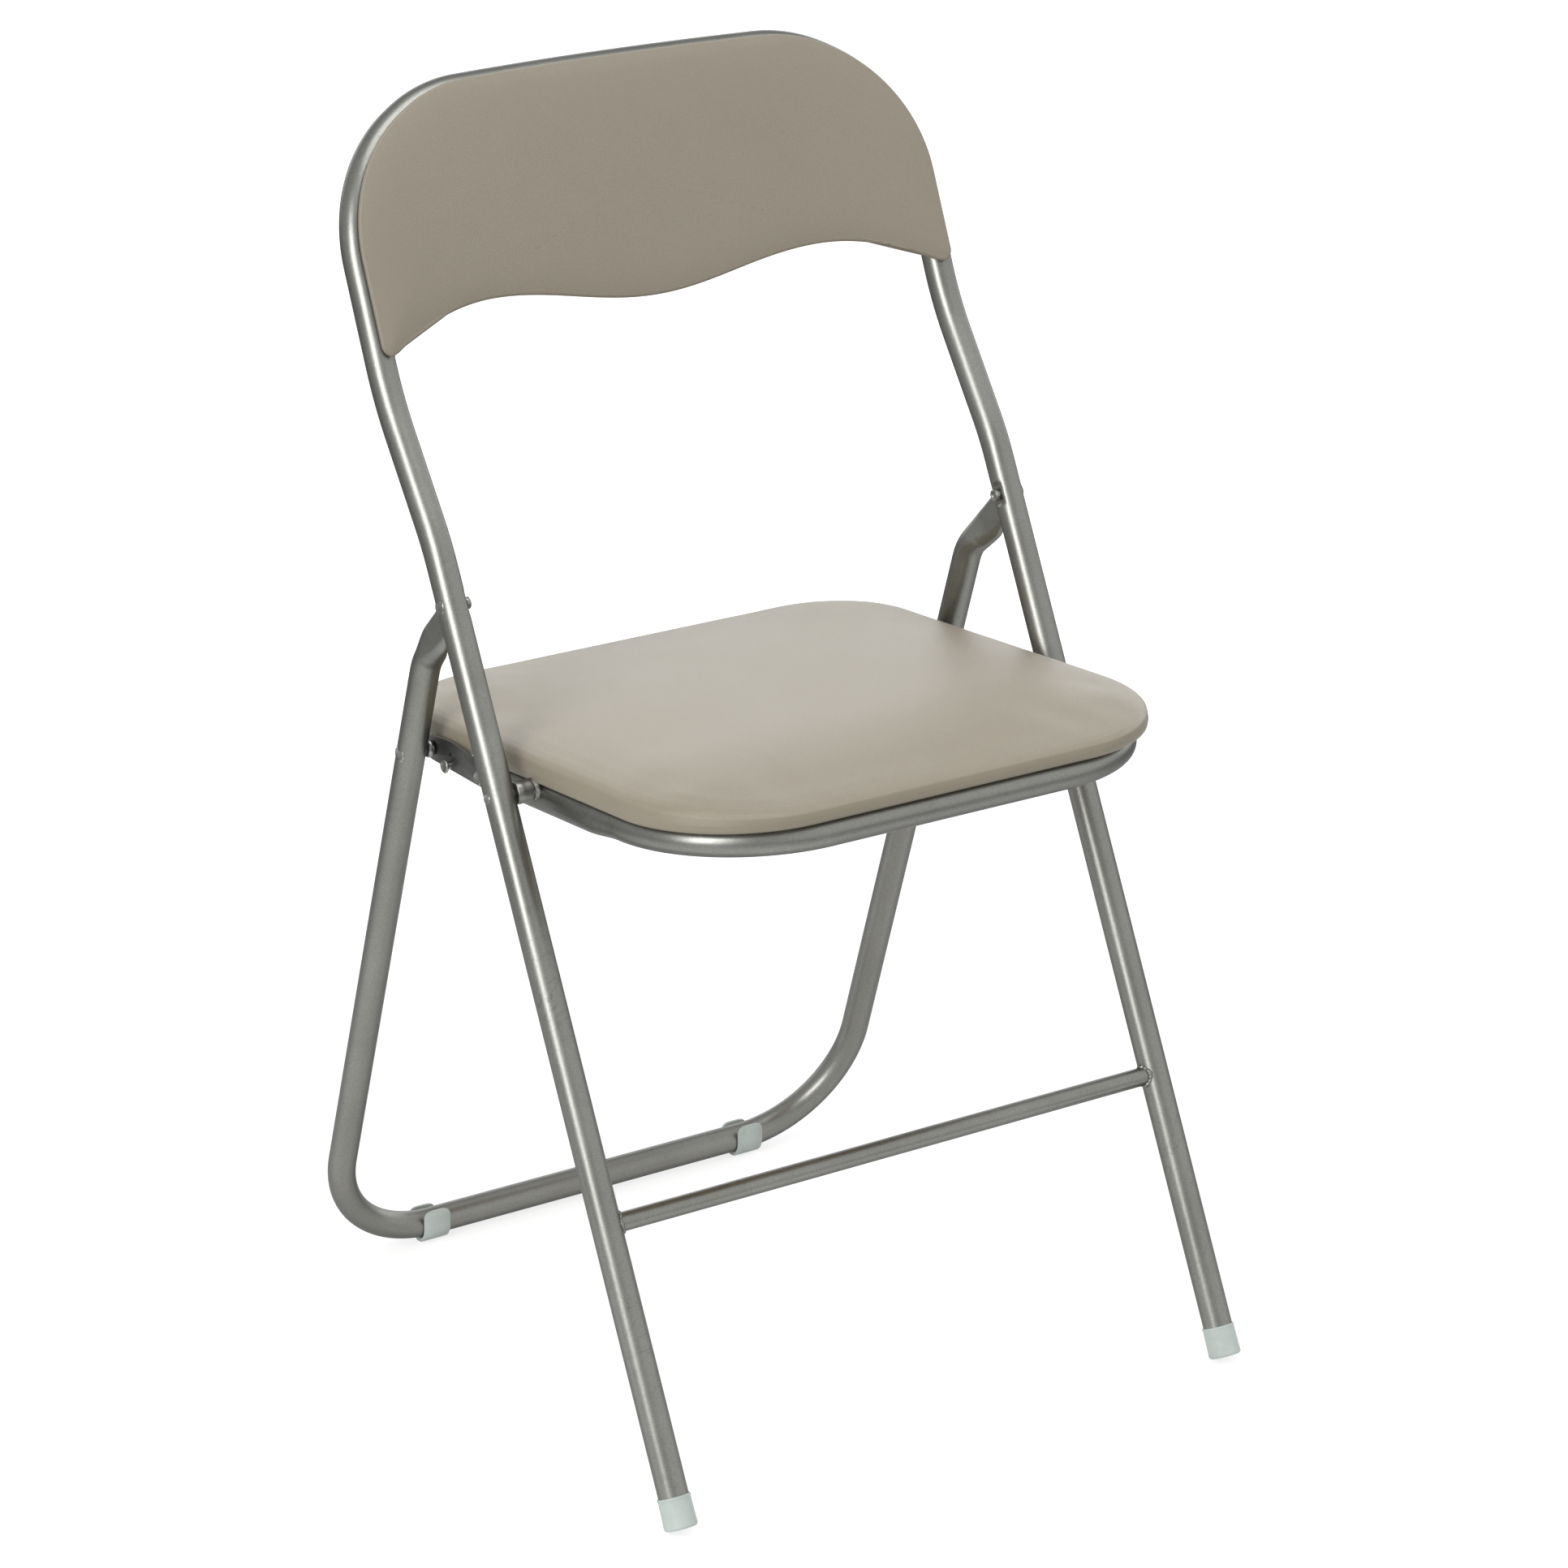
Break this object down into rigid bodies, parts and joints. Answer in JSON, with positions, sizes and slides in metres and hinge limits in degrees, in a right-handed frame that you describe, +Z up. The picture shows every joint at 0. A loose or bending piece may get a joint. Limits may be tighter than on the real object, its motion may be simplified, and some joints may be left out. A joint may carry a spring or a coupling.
{
  "type": "folding chair",
  "caption": "Folding chair with a bent steel tube frame, a padded vinyl seat and a curved padded back whose lower edge is wavy.",
  "frame": {"origin": "on the floor, under the middle of the chair's bounding box", "axes": "+X to the right of someone who looks at the front of the chair from in front of it, +Y to the rear of the chair, +Z up"},
  "size_m": [0.4386, 0.4642, 0.8049],
  "materials": {
    "frame": "satin metallic grey",
    "link": "dull dark steel",
    "fastener": "bright zinc",
    "feet": "matte pale grey-green",
    "board": "bare board",
    "foam": "open foam",
    "seat_vinyl": "warm grey grained vinyl",
    "back_vinyl": "taupe grained vinyl"
  },
  "bodies": {
    "front": {"front_frame": "frame", "crossbar": "frame", "foot_cap_left": "feet", "foot_cap_right": "feet", "top_rivet_left": "fastener", "top_rivet_right": "fastener", "seat_rivet_left": "fastener", "seat_rivet_right": "fastener", "back_board": "back_vinyl", "back_pad": "back_vinyl", "back_tab_side_left": "frame", "back_tab_side_right": "frame", "back_tab_top_left": "frame", "back_tab_top_right": "frame", "back_screw_side_left": "fastener", "back_screw_side_right": "fastener", "back_screw_top_left": "fastener", "back_screw_top_right": "fastener"},
    "seat": {"seat_frame": "frame", "seat_board": "board", "seat_foam": "foam", "seat_cover": "seat_vinyl", "seat_collar_left": "frame", "seat_collar_right": "frame", "link_rivet_left": "fastener", "link_rivet_right": "fastener", "link_washer_left": "fastener", "link_washer_right": "fastener", "seat_screw_front_left": "fastener", "seat_screw_front_right": "fastener", "seat_screw_side_left": "fastener", "seat_screw_side_right": "fastener"},
    "rear": {"rear_frame": "frame", "rail_clip_left": "feet", "rail_clip_right": "feet", "leg_rivet_left": "fastener", "leg_rivet_right": "fastener", "leg_spacer_left": "fastener", "leg_spacer_right": "fastener"},
    "link_l": {"link_left": "link", "link_stud_left": "fastener", "stop_pin_left": "fastener"},
    "link_r": {"link_right": "link", "link_stud_right": "fastener", "stop_pin_right": "fastener"}
  },
  "joints": [
    {"name": "seat_fold", "type": "hinge", "parent": "front", "child": "seat", "pos_m": [0, -0.02336, 0.413], "axis": [-1, 0, 0], "range_deg": [0, 110.08]},
    {"name": "rear_fold", "type": "hinge", "parent": "front", "child": "rear", "pos_m": [0, 0.02882, 0.52], "axis": [-1, 0, 0], "range_deg": [0, 42]},
    {"name": "link_fold_left", "type": "hinge", "parent": "seat", "child": "link_l", "pos_m": [-0.1885, 0.0317, 0.404], "axis": [1, 0, 0], "range_deg": [0, 139.76]},
    {"name": "link_fold_right", "type": "hinge", "parent": "seat", "child": "link_r", "pos_m": [0.1885, 0.0317, 0.404], "axis": [1, 0, 0], "range_deg": [0, 139.76]}
  ],
  "couplings": [
    {"joint": "rear_fold", "follows": "seat_fold", "ratio": 0.3815},
    {"joint": "link_fold_left", "follows": "seat_fold", "ratio": 1.2696},
    {"joint": "link_fold_right", "follows": "seat_fold", "ratio": 1.2696}
  ]
}
